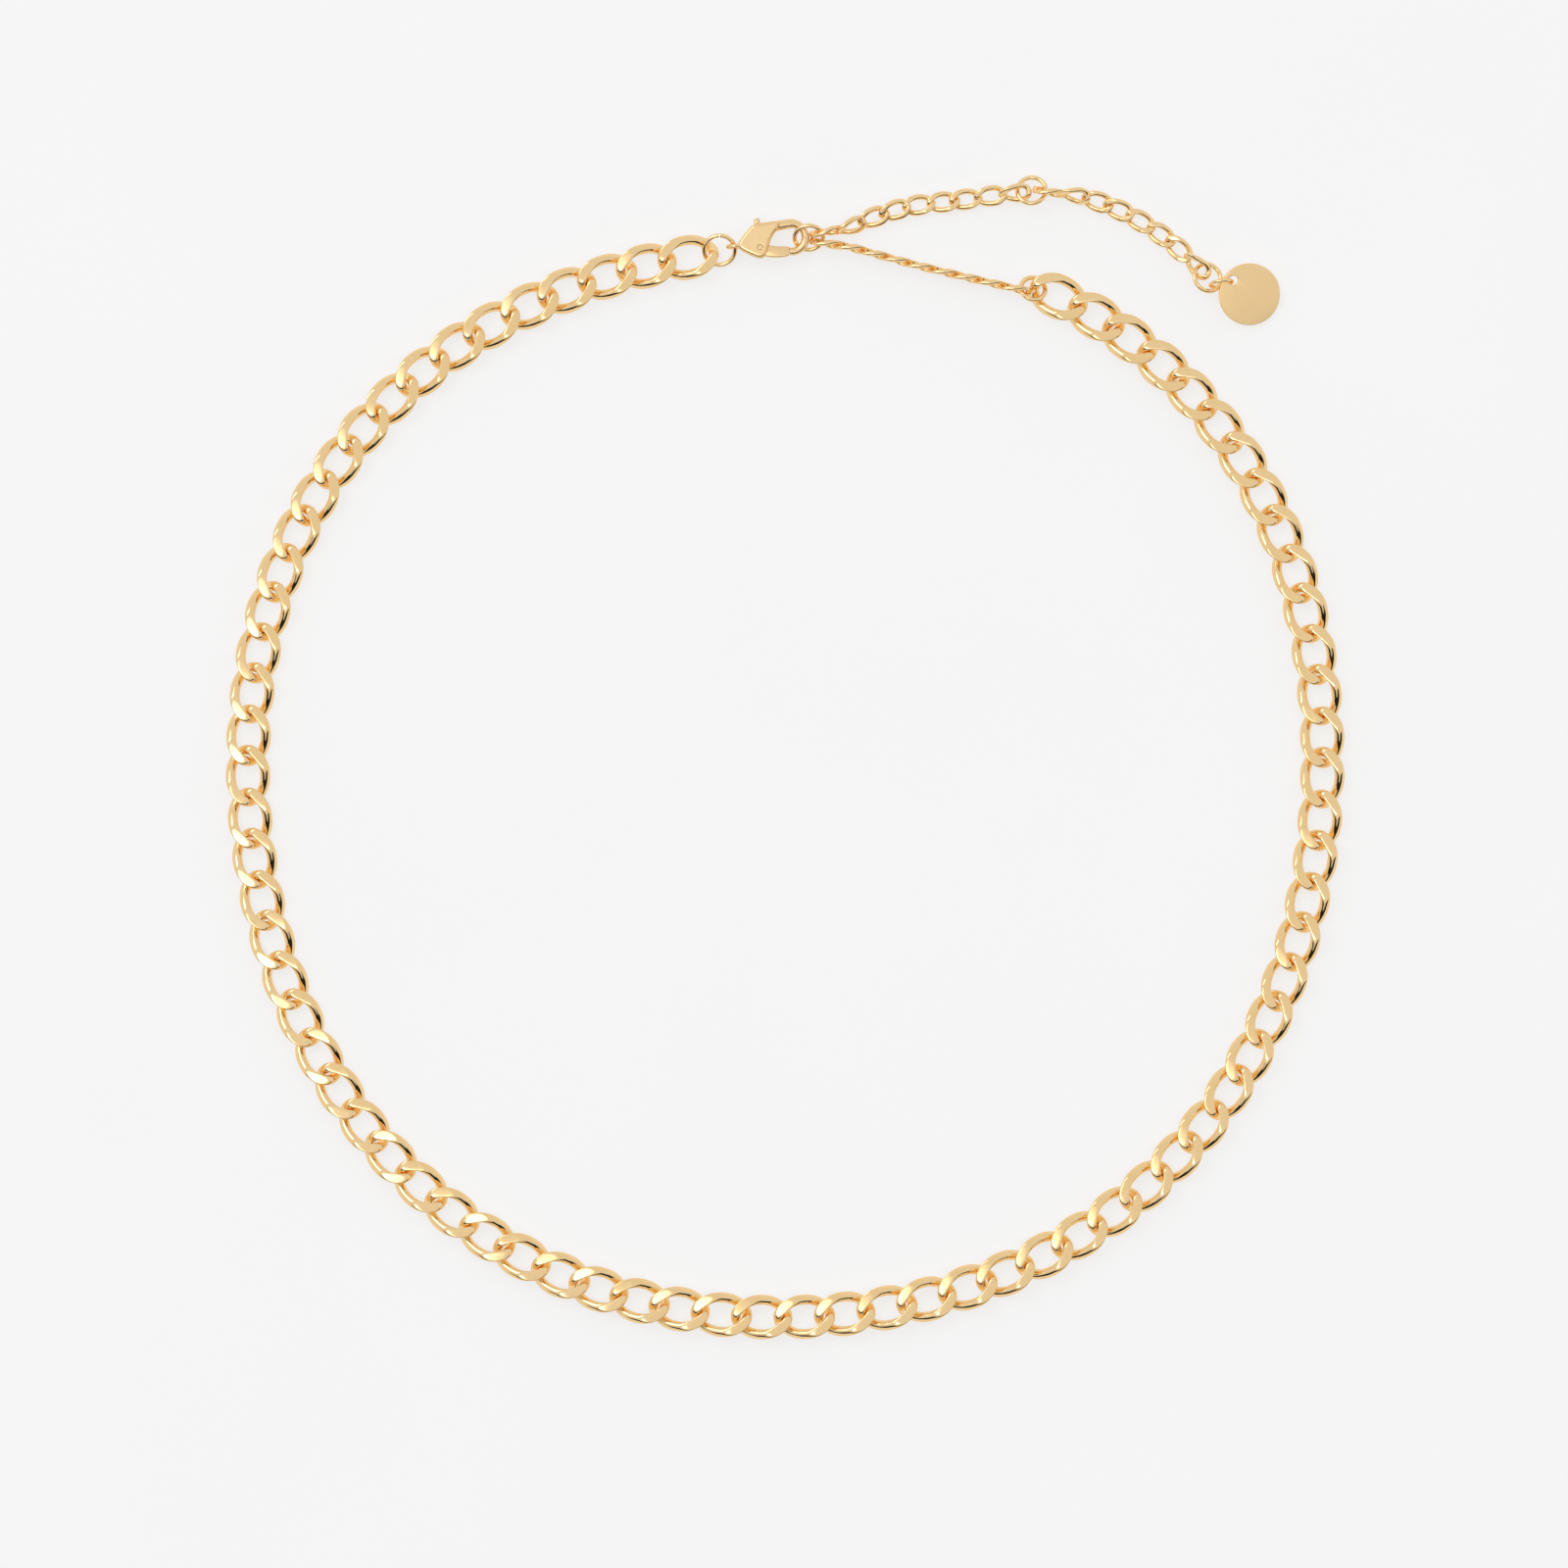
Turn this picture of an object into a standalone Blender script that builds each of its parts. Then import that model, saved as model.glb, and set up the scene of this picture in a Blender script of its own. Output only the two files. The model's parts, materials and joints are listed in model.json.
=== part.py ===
"""Chain necklace: a flat curb chain laid out in a loop, closed by a lobster clasp on an adjustable extender.

The loop lies on z = 0 with the back of the neck towards +Y. The left end of the curb chain carries the clasp,
the right end carries the extender: three runs of small curb links with a sizing ring after each of the first
two and at the end, where a plain disc tag hangs. The clasp is hooked into the first sizing ring.

Neighbouring links touch, so they are made in short fused runs: pairs of curb links and threes of extender
links. Every run is one node, and each bends against the next run at the point where their wires cross.
"""

import math

import bmesh
import bpy
from mathutils import Matrix, Vector

MM = 0.001

# Curb chain: 74 flat links
LINK_COUNT = 74
LINK_RUN = 2
LINK_WIRE = 1.10 * MM
LINK_LENGTH = 7.30 * MM
LINK_WIDTH = 5.20 * MM
LINK_TWIST = math.radians(45)
LINK_THICKNESS = 1.70 * MM
LINK_TIGHT_PITCH = 5.06 * MM
LINK_LOOSE_PITCH = 4.78 * MM

# Extender chain: three runs of small flat curb links
SMALL_WIRE = 0.42 * MM
SMALL_LENGTH = 3.80 * MM
SMALL_WIDTH = 2.35 * MM
SMALL_THICKNESS = 0.80 * MM
SMALL_TIGHT_PITCH = 2.93 * MM
SMALL_LOOSE_PITCH = 2.67 * MM

# The loop of the curb chain: its middle, its mean radius and the slight wave of a chain laid down by hand
LOOP_CENTRE = Vector((0.0, -2.03 * MM))
LOOP_RADIUS = 64.26 * MM
LOOP_WAVES = (
    (0.39 * MM, -0.42 * MM), (0.12 * MM, 0.47 * MM), (-0.25 * MM, 0.52 * MM), (-0.77 * MM, -0.17 * MM),
)
LOOP_START = math.radians(60.1)
PATH_STEPS = 3000

# The middle pair of links lies at the front. Every other piece hangs on the one before it, from there on
FRONT_LINK = 37

# Extender routes, in mm: along each, one roll in degrees per link. A link rolled by 90 stands on its edge
EXTENDER_RUN = 3
SECTION_ONE = ((5.0, 60.8), (8.0, 60.3), (17.0, 57.9), (30.0, 54.85))
SECTION_ONE_ROLLS = (90,) * 9
SECTION_TWO = (
    (5.0, 62.18), (7.5, 62.65), (10.0, 63.7), (14.9, 65.2), (20.3, 65.9), (25.8, 66.6), (30.0, 67.0),
)
SECTION_TWO_ROLLS = (90, 54, 20, 20, 0, 0, 0, 15, 40)
SECTION_THREE = ((31.4, 66.9), (35.8, 66.2), (40.7, 64.3), (45.3, 61.4), (48.6, 58.4), (51.0, 56.0))
SECTION_THREE_ROLLS = (90, 55, 15, 15, 0, 0, 5, 38)

# Rings: radius to the middle of the wire, and the wire's radius
SIZING_RING = (1.68 * MM, 0.26 * MM)
CLASP_RING = (1.84 * MM, 0.26 * MM)
CHAIN_RING = (1.45 * MM, 0.28 * MM)
TAG_RING = (1.30 * MM, 0.21 * MM)
SLIT = math.radians(4)
# Where each ring lies: its middle in mm, its normal, the point in mm where it hangs, and its slit
RING_PLACES = (
    ("sizing_ring_1", SIZING_RING, (2.94, 61.48, 1.21), (0.01, -0.57, 0.82), (1.90, 61.48, 1.22), 0.0),
    ("sizing_ring_2", SIZING_RING, (29.31, 67.08, 1.07), (-0.06, 0.37, 0.93), (28.32, 66.92, 1.05), 0.0),
    ("sizing_ring_3", SIZING_RING, (50.15, 56.76, 0.96), (0.34, 0.27, 0.90), (49.50, 57.45, 1.04), 0.0),
    ("clasp_jump_ring", CLASP_RING, (-7.63, 60.01, 0.97), (-0.01, -0.39, 0.92), (-8.87, 59.69, 0.83), SLIT),
    ("extender_jump_ring", CHAIN_RING, (29.50, 55.45, 0.88), (0.19, 0.39, 0.90), (30.26, 55.31, 0.73), SLIT),
    ("tag_ring", TAG_RING, (51.74, 56.03, 1.45), (-0.16, 0.96, -0.23), (51.00, 55.78, 0.99), SLIT),
)

# Disc tag: where its middle lies in mm, which way its hole points, and how far it leans on its ring
TAG_RADIUS = 3.66 * MM
TAG_THICKNESS = 0.50 * MM
TAG_HOLE_RADIUS = 0.58 * MM
TAG_HOLE_OFFSET = 2.55 * MM
TAG_AT = (55.1, 54.8, 0.98)
TAG_HEADING = math.radians(-40)
TAG_LEAN = math.radians(11)

# Lobster clasp: where its tail eye lies in mm, and its heading
CLASP_AT = (-5.8, 60.45, 1.22)
CLASP_HEADING = math.radians(4.5)
# In the clasp's own frame, x runs from the tail eye to the nose, y towards the trigger and z through it
CLASP_THICKNESS = 2.20 * MM
CLASP_SLOT = 1.20 * MM
SLOT_START = 0.95 * MM
SLOT_END = 4.60 * MM
LEVER_THICKNESS = 0.80 * MM
RIVET_AT = Vector((3.00 * MM, -0.35 * MM))
RIVET_RADIUS = 0.30 * MM
RIVET_HEADS = 0.10 * MM
RIVET_PLAY = 0.10 * MM
TAIL_EYE = (0.80 * MM, 0.26 * MM)
SPRING_WIRE = 0.10 * MM
# The hook: a short arm, then an arc round the nose from one angle in degrees to the other. The wire of the
# hook is thickest at the arm and thinnest at the tip
HOOK_ARM = ((3.3, 1.70), (4.9, 2.05))
NOSE_CENTRE = Vector((6.75 * MM, 0.50 * MM))
NOSE_RADIUS = 1.65 * MM
NOSE_ANGLES = (95, -100)
HOOK_RADIUS = 0.43 * MM
HOOK_SIZES = (1.25, 1.0, 0.95, 0.95, 1.0, 1.0, 1.05, 1.05, 1.05, 1.0, 0.95, 0.85)
# Outlines, in mm
CHEEK_OUTLINE = (
    (0.6, 0.35), (1.5, 1.35), (2.6, 2.20), (3.8, 2.45), (5.0, 2.45), (5.3, 1.75),
    (4.6, 0.90), (4.0, -0.30), (3.6, -1.35), (2.6, -1.45), (1.4, -0.90), (0.6, -0.35),
)
LEVER_OUTLINE = (
    (2.75, 0.30), (2.85, 1.60), (2.75, 2.60), (2.85, 3.15), (3.45, 3.15), (3.55, 2.60), (3.55, 1.60),
    (3.75, 0.10), (4.60, -0.45), (5.80, -0.62), (6.20, -0.75), (6.15, -1.35), (5.40, -1.55), (4.20, -1.50),
    (3.10, -1.20), (2.30, -0.85), (2.20, -0.10),
)
SPRING_LINE = ((1.20, -0.35), (1.25, 0.60), (1.75, 1.15), (2.20, 0.80), (2.35, 0.45))

# Sides of the round wires, and steps around one link
LINK_STEPS, LINK_SIDES = 12, 6
SMALL_STEPS, SMALL_SIDES = 10, 6
RING_STEPS, RING_SIDES = 16, 6


def start_scene():
    """An empty scene with one collection for the necklace and one for its cutters."""
    for leftover in list(bpy.data.objects):
        bpy.data.objects.remove(leftover, do_unlink=True)
    made = []
    for name in ("chain_necklace", "cutters"):
        collection = bpy.data.collections.new(name)
        bpy.context.scene.collection.children.link(collection)
        made.append(collection)
    return made


NECKLACE, CUTTERS = start_scene()


def metal(name, colour, roughness=0.18):
    """A polished metal."""
    material = bpy.data.materials.new(name)
    material.use_nodes = True
    shader = material.node_tree.nodes["Principled BSDF"]
    shader.inputs["Base Color"].default_value = (*colour, 1.0)
    shader.inputs["Metallic"].default_value = 1.0
    shader.inputs["Roughness"].default_value = roughness
    return material


CHAIN_GOLD = metal("chain_gold", (0.86, 0.64, 0.34))
EXTENDER_GOLD = metal("extender_gold", (0.85, 0.62, 0.33), 0.20)
RING_GOLD = metal("ring_gold", (0.87, 0.65, 0.36), 0.16)
CLASP_GOLD = metal("clasp_gold", (0.84, 0.63, 0.36), 0.22)
TAG_GOLD = metal("tag_gold", (0.82, 0.63, 0.38), 0.26)
SPRING_STEEL = metal("spring_steel", (0.60, 0.58, 0.55), 0.30)


# Making meshes


def own_mesh(thing):
    """The evaluated mesh of an object, its caps and seams welded, with the object's place applied."""
    bpy.context.view_layer.update()
    depsgraph = bpy.context.evaluated_depsgraph_get()
    mesh = bpy.data.meshes.new_from_object(thing.evaluated_get(depsgraph))
    mesh.transform(thing.matrix_world)
    bpy.data.objects.remove(thing, do_unlink=True)
    shell = bmesh.new()
    shell.from_mesh(mesh)
    bmesh.ops.remove_doubles(shell, verts=shell.verts, dist=0.001 * MM)
    bmesh.ops.recalc_face_normals(shell, faces=shell.faces)
    shell.to_mesh(mesh)
    shell.free()
    return mesh


def in_mm(points):
    """Points given in millimetres."""
    return [Vector((x * MM, y * MM)) for x, y in points]


def smooth_outline(corners, steps=3):
    """A closed outline through corners, rounded by a Catmull-Rom curve."""
    count = len(corners)
    outline = []
    for index in range(count):
        before, start, end, after = (corners[(index + shift) % count] for shift in (-1, 0, 1, 2))
        outline += [rounded(before, start, end, after, step / steps) for step in range(steps)]
    return outline


def rounded(before, start, end, after, t):
    """The Catmull-Rom point at t between start and end."""
    line = 2 * start + (end - before) * t
    bend = (2 * before - 5 * start + 4 * end - after) * t**2
    return 0.5 * (line + bend + (3 * start - before - 3 * end + after) * t**3)


def linked(thing, collection=CUTTERS):
    """Puts an object into a collection; helpers and cutters show as wires only."""
    collection.objects.link(thing)
    if collection is CUTTERS:
        thing.hide_render = True
        thing.display_type = "WIRE"
    return thing


def wire(points, radius, sides, closed=True, sizes=None):
    """A round wire along points. sizes scales its radius at each point."""
    curve = bpy.data.curves.new("wire", "CURVE")
    curve.dimensions = "3D"
    curve.bevel_depth = radius
    curve.bevel_resolution = sides // 2 - 2
    curve.use_fill_caps = True
    spline = curve.splines.new("POLY")
    spline.points.add(len(points) - 1)
    for index, at in enumerate(points):
        spline.points[index].co = (*at, 1.0)
        spline.points[index].radius = sizes[index] if sizes else 1.0
    spline.use_cyclic_u = closed
    return own_mesh(linked(bpy.data.objects.new("wire", curve)))


def plate(outline, thickness):
    """A flat plate of an outline in XY, centred on z = 0."""
    curve = bpy.data.curves.new("outline", "CURVE")
    curve.dimensions = "2D"
    curve.fill_mode = "BOTH"
    curve.extrude = thickness / 2
    spline = curve.splines.new("POLY")
    spline.points.add(len(outline) - 1)
    for index, at in enumerate(outline):
        spline.points[index].co = (at[0], at[1], 0.0, 1.0)
    spline.use_cyclic_u = True
    return own_mesh(linked(bpy.data.objects.new("plate", curve)))


def cylinder(radius, length, at=(0, 0, 0), sides=16):
    """A cylinder along z, centred on a point."""
    bpy.ops.mesh.primitive_cylinder_add(vertices=sides, radius=radius, depth=length, location=at)
    return own_mesh(bpy.context.object)


def box(low, high):
    """A box between two corners."""
    size = Vector(high) - Vector(low)
    bpy.ops.mesh.primitive_cube_add(size=1, location=Vector(low) + size / 2)
    cube = bpy.context.object
    cube.scale = size
    return own_mesh(cube)


def combined(mesh, others, operation):
    """A mesh with others joined to it or cut from it, by EXACT Booleans."""
    for other in others:
        base = linked(bpy.data.objects.new("base", mesh))
        tool = linked(bpy.data.objects.new("tool", other))
        boolean = base.modifiers.new(operation.lower(), "BOOLEAN")
        boolean.operation = operation
        boolean.solver = "EXACT"
        boolean.object = tool
        mesh = own_mesh(base)
        bpy.data.objects.remove(tool, do_unlink=True)
    return mesh


def moved(mesh, place):
    """A copy of a mesh moved by a matrix."""
    copy = mesh.copy()
    copy.transform(place)
    return copy


def part(name, mesh, pivot, material):
    """One sub-part of the necklace, its origin on its joint. mesh is in world coordinates."""
    mesh.name = name
    mesh.transform(Matrix.Translation(-Vector(pivot)))
    mesh.materials.clear()
    mesh.materials.append(material)
    mesh.shade_smooth()
    mesh.set_sharp_from_angle(angle=math.radians(40))
    piece = bpy.data.objects.new(name, mesh)
    piece.location = pivot
    NECKLACE.objects.link(piece)
    return piece


# Links and rings


def curb_link(length, width, wire_size, thickness, steps, sides):
    """A flat curb link: an oval wire whose ends are twisted against each other, ground flat on both faces."""
    reach, spread = (length - wire_size) / 2, (width - wire_size) / 2
    points = []
    for step in range(steps):
        turn = math.tau * step / steps
        twist = LINK_TWIST * math.cos(turn)
        out = spread * math.sin(turn)
        points.append((reach * math.cos(turn), out * math.cos(twist), -out * math.sin(twist)))
    mesh = wire(points, wire_size / 2, sides)
    for vertex in mesh.vertices:
        vertex.co.z = max(-thickness / 2, min(thickness / 2, vertex.co.z))
    return mesh


def ring(size, steps=RING_STEPS, sides=RING_SIDES, slit=0.0):
    """A round ring in XY, soldered shut, or with a saw slit at +X."""
    radius, wire_radius = size
    turns = [slit / 2 + (math.tau - slit) * step / steps for step in range(steps + (1 if slit else 0))]
    points = [(radius * math.cos(turn), radius * math.sin(turn), 0.0) for turn in turns]
    return wire(points, wire_radius, sides, closed=not slit)


def facing(normal):
    """The rotation that turns z to a normal, after a quarter turn about z that brings a ring's slit to +Y."""
    tilt = Vector((0, 0, 1)).rotation_difference(Vector(normal)).to_matrix().to_4x4()
    return tilt @ Matrix.Rotation(math.radians(90), 4, "Z")


def laid(at, heading, roll=0.0):
    """Where a link stands: at a point, along a heading, rolled about its own length."""
    return Matrix.Translation(at) @ Matrix.Rotation(heading, 4, "Z") @ Matrix.Rotation(roll, 4, "X")


def meeting_points(links, reach):
    """The outer end of the first link, the points where neighbours cross, and the outer end of the last."""
    between = [(before.translation + after.translation) / 2 for before, after in zip(links, links[1:])]
    return [links[0] @ Vector((-reach, 0, 0)), *between, links[-1] @ Vector((reach, 0, 0))]


def runs(name, links, per_run, mesh, material, reach, first=1, by_end=()):
    """Parts of fused links, from the links' places in order. Each run hangs by its start, or those starting
    at a link in by_end hang by their far end; a run's origin is the point it hangs by."""
    meetings = meeting_points(links, reach)
    for start in range(0, len(links), per_run):
        places = links[start : start + per_run]
        whole, *rest = [moved(mesh, place) for place in places]
        whole = combined(whole, rest, "UNION")
        last = start + len(places)
        pivot = meetings[last if start in by_end else start]
        part(f"{name}_{first + start:02d}_{first + last - 1:02d}", whole, pivot, material)


# The curb chain


def loop_point(turn):
    """The middle of the curb chain at an angle around the loop."""
    radius = LOOP_RADIUS
    for order, (cosine, sine) in enumerate(LOOP_WAVES, 1):
        radius += cosine * math.cos(order * turn) + sine * math.sin(order * turn)
    return LOOP_CENTRE + radius * Vector((math.cos(turn), math.sin(turn)))


def walk(path, distances):
    """Points at given distances along a finely divided path, each with the path's heading there."""
    found, travelled, index = [], 0.0, 0
    for distance in distances:
        while index < len(path) - 2 and travelled + (path[index + 1] - path[index]).length < distance:
            travelled += (path[index + 1] - path[index]).length
            index += 1
        step = path[index + 1] - path[index]
        at = path[index] + step * (distance - travelled) / step.length
        found.append((at, math.atan2(step.y, step.x)))
    return found


def pitches(count, per_run, tight, loose):
    """Distances along the chain of its links: tight within a fused run, loose between runs."""
    distances = [0.0]
    for index in range(1, count):
        distances.append(distances[-1] + (loose if index % per_run == 0 else tight))
    return distances


def curb_chain():
    """Links 1 to 74, clockwise from the extender's end, round the front, to the clasp's end."""
    path = [loop_point(LOOP_START - math.radians(330) * step / PATH_STEPS) for step in range(PATH_STEPS)]
    stations = walk(path, pitches(LINK_COUNT, LINK_RUN, LINK_TIGHT_PITCH, LINK_LOOSE_PITCH))
    link = curb_link(LINK_LENGTH, LINK_WIDTH, LINK_WIRE, LINK_THICKNESS, LINK_STEPS, LINK_SIDES)
    places = [laid((*at, LINK_THICKNESS / 2), heading) for at, heading in stations]
    reach = (LINK_LENGTH - LINK_WIRE) / 2
    runs("curb_links", places, LINK_RUN, link, CHAIN_GOLD, reach, by_end=range(FRONT_LINK - 1))


# The extender


def smooth_path(points, steps=60):
    """A smooth curve through points (Catmull-Rom), finely divided."""
    ends = [2 * points[0] - points[1], *points, 2 * points[-1] - points[-2]]
    path = []
    for before, start, end, after in zip(ends, ends[1:], ends[2:], ends[3:]):
        path += [rounded(before, start, end, after, step / steps) for step in range(steps)]
    return path + [points[-1]]


def extender_run(points, rolls, link, first, by_end=()):
    """Small links along a route, one for each roll; a link rolled by 90 degrees stands on its edge."""
    path = smooth_path(in_mm(points))
    distances = pitches(len(rolls), EXTENDER_RUN, SMALL_TIGHT_PITCH, SMALL_LOOSE_PITCH)
    places = []
    for (at, heading), roll in zip(walk(path, distances), rolls):
        tilt = math.radians(roll)
        height = (abs(math.sin(tilt)) * SMALL_WIDTH + abs(math.cos(tilt)) * SMALL_THICKNESS) / 2
        places.append(laid((*at, height), heading, tilt))
    reach = (SMALL_LENGTH - SMALL_WIRE) / 2
    runs("extender_links", places, EXTENDER_RUN, link, EXTENDER_GOLD, reach, first, by_end)


def extender():
    """The three sections of small links. All but the clasp end of the first hangs on the curb chain."""
    link = curb_link(SMALL_LENGTH, SMALL_WIDTH, SMALL_WIRE, SMALL_THICKNESS, SMALL_STEPS, SMALL_SIDES)
    extender_run(SECTION_ONE, SECTION_ONE_ROLLS, link, 1, by_end=range(EXTENDER_RUN, len(SECTION_ONE_ROLLS)))
    extender_run(SECTION_TWO, SECTION_TWO_ROLLS, link, 10)
    extender_run(SECTION_THREE, SECTION_THREE_ROLLS, link, 19)


def rings():
    """Sizing rings, jump rings and the tag's ring."""
    for name, size, at, normal, hang, slit in RING_PLACES:
        mesh = moved(ring(size, slit=slit), Matrix.Translation(Vector(at) * MM) @ facing(normal))
        part(name, mesh, Vector(hang) * MM, RING_GOLD)


def disc_tag():
    """A plain round tag with a hole, one edge on the ground and the hole's edge lifted by its ring."""
    disc = cylinder(TAG_RADIUS, TAG_THICKNESS, sides=40)
    hole = cylinder(TAG_HOLE_RADIUS, 3 * TAG_THICKNESS, (-TAG_HOLE_OFFSET, 0, 0), sides=14)
    disc = combined(disc, [hole], "DIFFERENCE")
    turned = Matrix.Rotation(TAG_HEADING, 4, "Z") @ Matrix.Rotation(TAG_LEAN, 4, "Y")
    place = Matrix.Translation(Vector(TAG_AT) * MM) @ turned
    part("disc_tag", moved(disc, place), place @ Vector((-TAG_HOLE_OFFSET, 0, 0)), TAG_GOLD)


# The lobster clasp


def arc(centre, radius, start, end, steps):
    """Points of an arc in XY between two angles in degrees."""
    turns = [math.radians(start + (end - start) * step / steps) for step in range(steps + 1)]
    return [centre + radius * Vector((math.cos(turn), math.sin(turn))) for turn in turns]


def clasp_place():
    """The clasp's frame: its tail eye on the jump ring, its nose in the first sizing ring."""
    return Matrix.Translation(Vector(CLASP_AT) * MM) @ Matrix.Rotation(CLASP_HEADING, 4, "Z")


def clasp_body():
    """Two cheeks with a slot between them, the hook round the nose and the tail eye, in one casting."""
    cheeks = plate(smooth_outline(in_mm(CHEEK_OUTLINE)), CLASP_THICKNESS)
    line = in_mm(HOOK_ARM) + arc(NOSE_CENTRE, NOSE_RADIUS, *NOSE_ANGLES, steps=9)
    hook = wire([(*at, 0.0) for at in line], HOOK_RADIUS, 8, closed=False, sizes=HOOK_SIZES)
    eye = moved(ring(TAIL_EYE, 12, 6), Matrix.Rotation(math.radians(90), 4, "X"))
    body = combined(cheeks, [hook, eye], "UNION")
    slot = box((SLOT_START, -4 * MM, -CLASP_SLOT / 2), (SLOT_END, 4 * MM, CLASP_SLOT / 2))
    bore = cylinder(RIVET_RADIUS + RIVET_PLAY, 2 * CLASP_THICKNESS, (*RIVET_AT, 0.0), 14)
    return combined(body, [slot, bore], "DIFFERENCE")


def clasp():
    """The lobster clasp: body, rivet, sprung trigger lever and its spring."""
    place = clasp_place()
    rivet_at = place @ Vector((*RIVET_AT, 0.0))
    part("clasp_body", moved(clasp_body(), place), place.translation, CLASP_GOLD)
    rivet = cylinder(RIVET_RADIUS, CLASP_THICKNESS + RIVET_HEADS, (*RIVET_AT, 0.0), 12)
    part("clasp_rivet", moved(rivet, place), rivet_at, CLASP_GOLD)
    lever = plate(smooth_outline(in_mm(LEVER_OUTLINE)), LEVER_THICKNESS)
    bore = cylinder(RIVET_RADIUS + RIVET_PLAY, 2 * CLASP_THICKNESS, (*RIVET_AT, 0.0), 14)
    part("clasp_lever", moved(combined(lever, [bore], "DIFFERENCE"), place), rivet_at, CLASP_GOLD)
    line = smooth_path(in_mm(SPRING_LINE), 4)
    spring = wire([(*at, 0.0) for at in line], SPRING_WIRE, 6, closed=False)
    part("clasp_spring", moved(spring, place), rivet_at, SPRING_STEEL)


curb_chain()
extender()
rings()
clasp()
disc_tag()
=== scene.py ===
"""Chain necklace: the looks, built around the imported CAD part.

Every link, ring, tag and clasp piece is made here with round wires and soft edges, in the place of its CAD
solid, and rides on that solid's body.
"""

import json
import math

import bmesh
import bpy
from mathutils import Matrix, Vector


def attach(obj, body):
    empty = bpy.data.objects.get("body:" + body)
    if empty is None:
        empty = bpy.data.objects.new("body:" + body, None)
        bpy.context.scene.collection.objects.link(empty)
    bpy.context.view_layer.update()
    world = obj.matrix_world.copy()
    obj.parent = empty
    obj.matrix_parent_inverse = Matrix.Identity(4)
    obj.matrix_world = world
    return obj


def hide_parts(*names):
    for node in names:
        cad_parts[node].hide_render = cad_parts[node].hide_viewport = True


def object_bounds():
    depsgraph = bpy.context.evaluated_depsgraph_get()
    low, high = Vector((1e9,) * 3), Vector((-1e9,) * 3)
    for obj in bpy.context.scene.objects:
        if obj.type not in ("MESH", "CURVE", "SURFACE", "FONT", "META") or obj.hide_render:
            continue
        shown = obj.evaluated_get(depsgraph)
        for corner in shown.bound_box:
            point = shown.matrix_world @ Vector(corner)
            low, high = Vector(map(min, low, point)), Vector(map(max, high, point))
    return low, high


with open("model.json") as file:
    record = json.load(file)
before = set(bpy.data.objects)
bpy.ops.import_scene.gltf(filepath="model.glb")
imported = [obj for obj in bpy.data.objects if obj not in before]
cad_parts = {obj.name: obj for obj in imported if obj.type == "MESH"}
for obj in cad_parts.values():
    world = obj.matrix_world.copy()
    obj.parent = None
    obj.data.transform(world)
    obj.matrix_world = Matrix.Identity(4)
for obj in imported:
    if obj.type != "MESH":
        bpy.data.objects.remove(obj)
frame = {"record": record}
CAD_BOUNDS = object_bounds()
BODY_OF = {node: body for body, nodes in frame["record"]["behaviour"]["bodies"].items() for node in nodes}

MM = 0.001

# Curb chain
LINK_COUNT, LINK_RUN = 74, 2
LINK_WIRE, LINK_LENGTH, LINK_WIDTH, LINK_THICKNESS = 1.16 * MM, 7.30 * MM, 5.24 * MM, 1.70 * MM
LINK_TIGHT_PITCH, LINK_LOOSE_PITCH = 5.06 * MM, 4.78 * MM
LINK_TWIST = math.radians(45)
# How square-shouldered a link's oval is (2 is an ellipse)
LINK_FULLNESS = 2.35
# How much a link's ground faces are crowned, and how soft their edges are, as parts of its thickness
LINK_CROWN, LINK_SOFTNESS = 0.07, 0.045
# How far links roll to one side and the other, and how fast that changes along the chain
LINK_ROLL, ROLL_STEP = math.radians(1.6), 2.2
# The loop is a circle with four orders of waves, in mm. The links go clockwise round it from its start
LOOP_CENTRE = Vector((0.0, -2.03 * MM))
LOOP_RADIUS = 64.26 * MM
LOOP_WAVES = ((0.39, -0.42), (0.12, 0.47), (-0.25, 0.52), (-0.77, -0.17))
LOOP_START, LOOP_SWEEP, LOOP_STEPS = math.radians(60.1), math.radians(330), 3000

# Extender: the route of each section in mm, and the roll of each of its links in degrees
EXTENDER_RUN = 3
SMALL_WIRE, SMALL_LENGTH, SMALL_WIDTH, SMALL_THICKNESS = 0.64 * MM, 4.02 * MM, 2.52 * MM, 0.96 * MM
SMALL_TIGHT_PITCH, SMALL_LOOSE_PITCH = 2.93 * MM, 2.67 * MM
SECTION_ONE = ((5.0, 60.8), (8.0, 60.3), (17.0, 57.9), (30.0, 54.85))
SECTION_ONE_ROLLS = (90,) * 9
SECTION_TWO = (
    (5.0, 62.18), (7.5, 62.65), (10.0, 63.7), (14.9, 65.2), (20.3, 65.9), (25.8, 66.6), (30.0, 67.0),
)
SECTION_TWO_ROLLS = (90, 54, 20, 20, 0, 0, 0, 15, 40)
SECTION_THREE = ((31.4, 66.9), (35.8, 66.2), (40.7, 64.3), (45.3, 61.4), (48.6, 58.4), (51.0, 56.0))
SECTION_THREE_ROLLS = (90, 55, 15, 15, 0, 0, 5, 38)

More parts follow.
